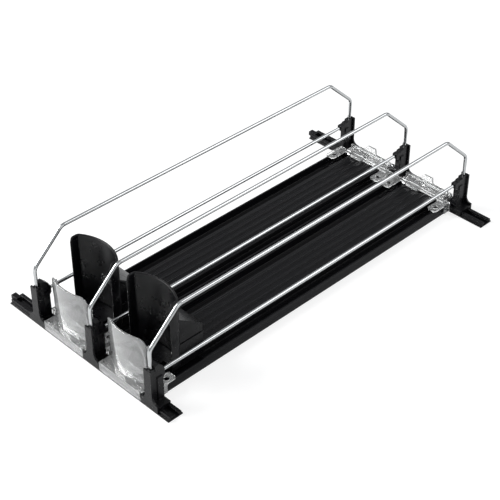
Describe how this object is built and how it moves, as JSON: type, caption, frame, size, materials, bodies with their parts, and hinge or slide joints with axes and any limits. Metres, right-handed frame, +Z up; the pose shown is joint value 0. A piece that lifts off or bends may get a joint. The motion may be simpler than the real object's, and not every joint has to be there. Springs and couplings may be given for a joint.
{
  "type": "fridge can organizer",
  "caption": "Self-feeding shelf organizer for drink cans: ribbed trays on rails, bent wire dividers, spring-driven pushers and clear curved front stops.",
  "frame": {"origin": "on the shelf, below the middle of the whole organizer", "axes": "+X across the lanes, -Y towards the open front, +Z up"},
  "size_m": [0.2346, 0.4114, 0.0909],
  "materials": {
    "rail_abs": "black ABS, fine satin",
    "post_abs": "black ABS, satin",
    "tray_abs": "black ABS, half gloss",
    "pusher_abs": "black ABS, polished",
    "sled_abs": "black ABS, satin",
    "clear_pc": "clear polycarbonate, slightly milky",
    "chromed_wire": "chromed steel wire",
    "steel": "drawn steel",
    "drum_pom": "natural acetal",
    "spring_steel": "rolled spring steel"
  },
  "bodies": {
    "base": {"front_rail": "rail_abs", "rear_rail": "rail_abs", "left_tray": "tray_abs", "left_front_clip": "clear_pc", "left_stop_panel": "clear_pc", "left_rear_clip": "clear_pc", "left_spring_band": "spring_steel", "right_tray": "tray_abs", "right_front_clip": "clear_pc", "right_stop_panel": "clear_pc", "right_rear_clip": "clear_pc", "right_spring_band": "spring_steel", "middle_front_post": "post_abs", "middle_rear_post": "post_abs", "middle_upper_wire": "chromed_wire", "middle_lower_wire": "chromed_wire"},
    "left_divider": {"left_front_post": "post_abs", "left_rear_post": "post_abs", "left_upper_wire": "chromed_wire", "left_lower_wire": "chromed_wire"},
    "left_pusher": {"left_pusher_shell": "pusher_abs", "left_pusher_sled": "sled_abs", "left_drum_pin": "steel"},
    "left_drum": {"left_spring_drum": "drum_pom", "left_spring_coil": "spring_steel"},
    "right_divider": {"right_front_post": "post_abs", "right_rear_post": "post_abs", "right_upper_wire": "chromed_wire", "right_lower_wire": "chromed_wire"},
    "right_pusher": {"right_pusher_shell": "pusher_abs", "right_pusher_sled": "sled_abs", "right_drum_pin": "steel"},
    "right_drum": {"right_spring_drum": "drum_pom", "right_spring_coil": "spring_steel"}
  },
  "joints": [
    {"name": "left_divider_slide", "type": "slide", "parent": "base", "child": "left_divider", "axis": [-1, 0, 0], "range_m": [0, 0.0255]},
    {"name": "right_divider_slide", "type": "slide", "parent": "base", "child": "right_divider", "axis": [1, 0, 0], "range_m": [0, 0.013]},
    {"name": "left_pusher_slide", "type": "slide", "parent": "base", "child": "left_pusher", "axis": [0, 1, 0], "range_m": [0, 0.3115], "stiffness_N_per_m": 3, "springref_m": -0.75},
    {"name": "left_drum_turn", "type": "hinge", "parent": "left_pusher", "child": "left_drum", "pos_m": [-0.031, -0.1421, 0.0215], "axis": [-1, 0, 0], "range_deg": [0, 2800]},
    {"name": "right_pusher_slide", "type": "slide", "parent": "base", "child": "right_pusher", "axis": [0, 1, 0], "range_m": [0, 0.3115], "stiffness_N_per_m": 3, "springref_m": -0.75},
    {"name": "right_drum_turn", "type": "hinge", "parent": "right_pusher", "child": "right_drum", "pos_m": [0.0435, -0.1421, 0.0215], "axis": [-1, 0, 0], "range_deg": [0, 2800]}
  ],
  "couplings": [
    {"joint": "left_drum_turn", "follows": "left_pusher_slide", "rad_per_m": 150},
    {"joint": "right_drum_turn", "follows": "right_pusher_slide", "rad_per_m": 150}
  ]
}
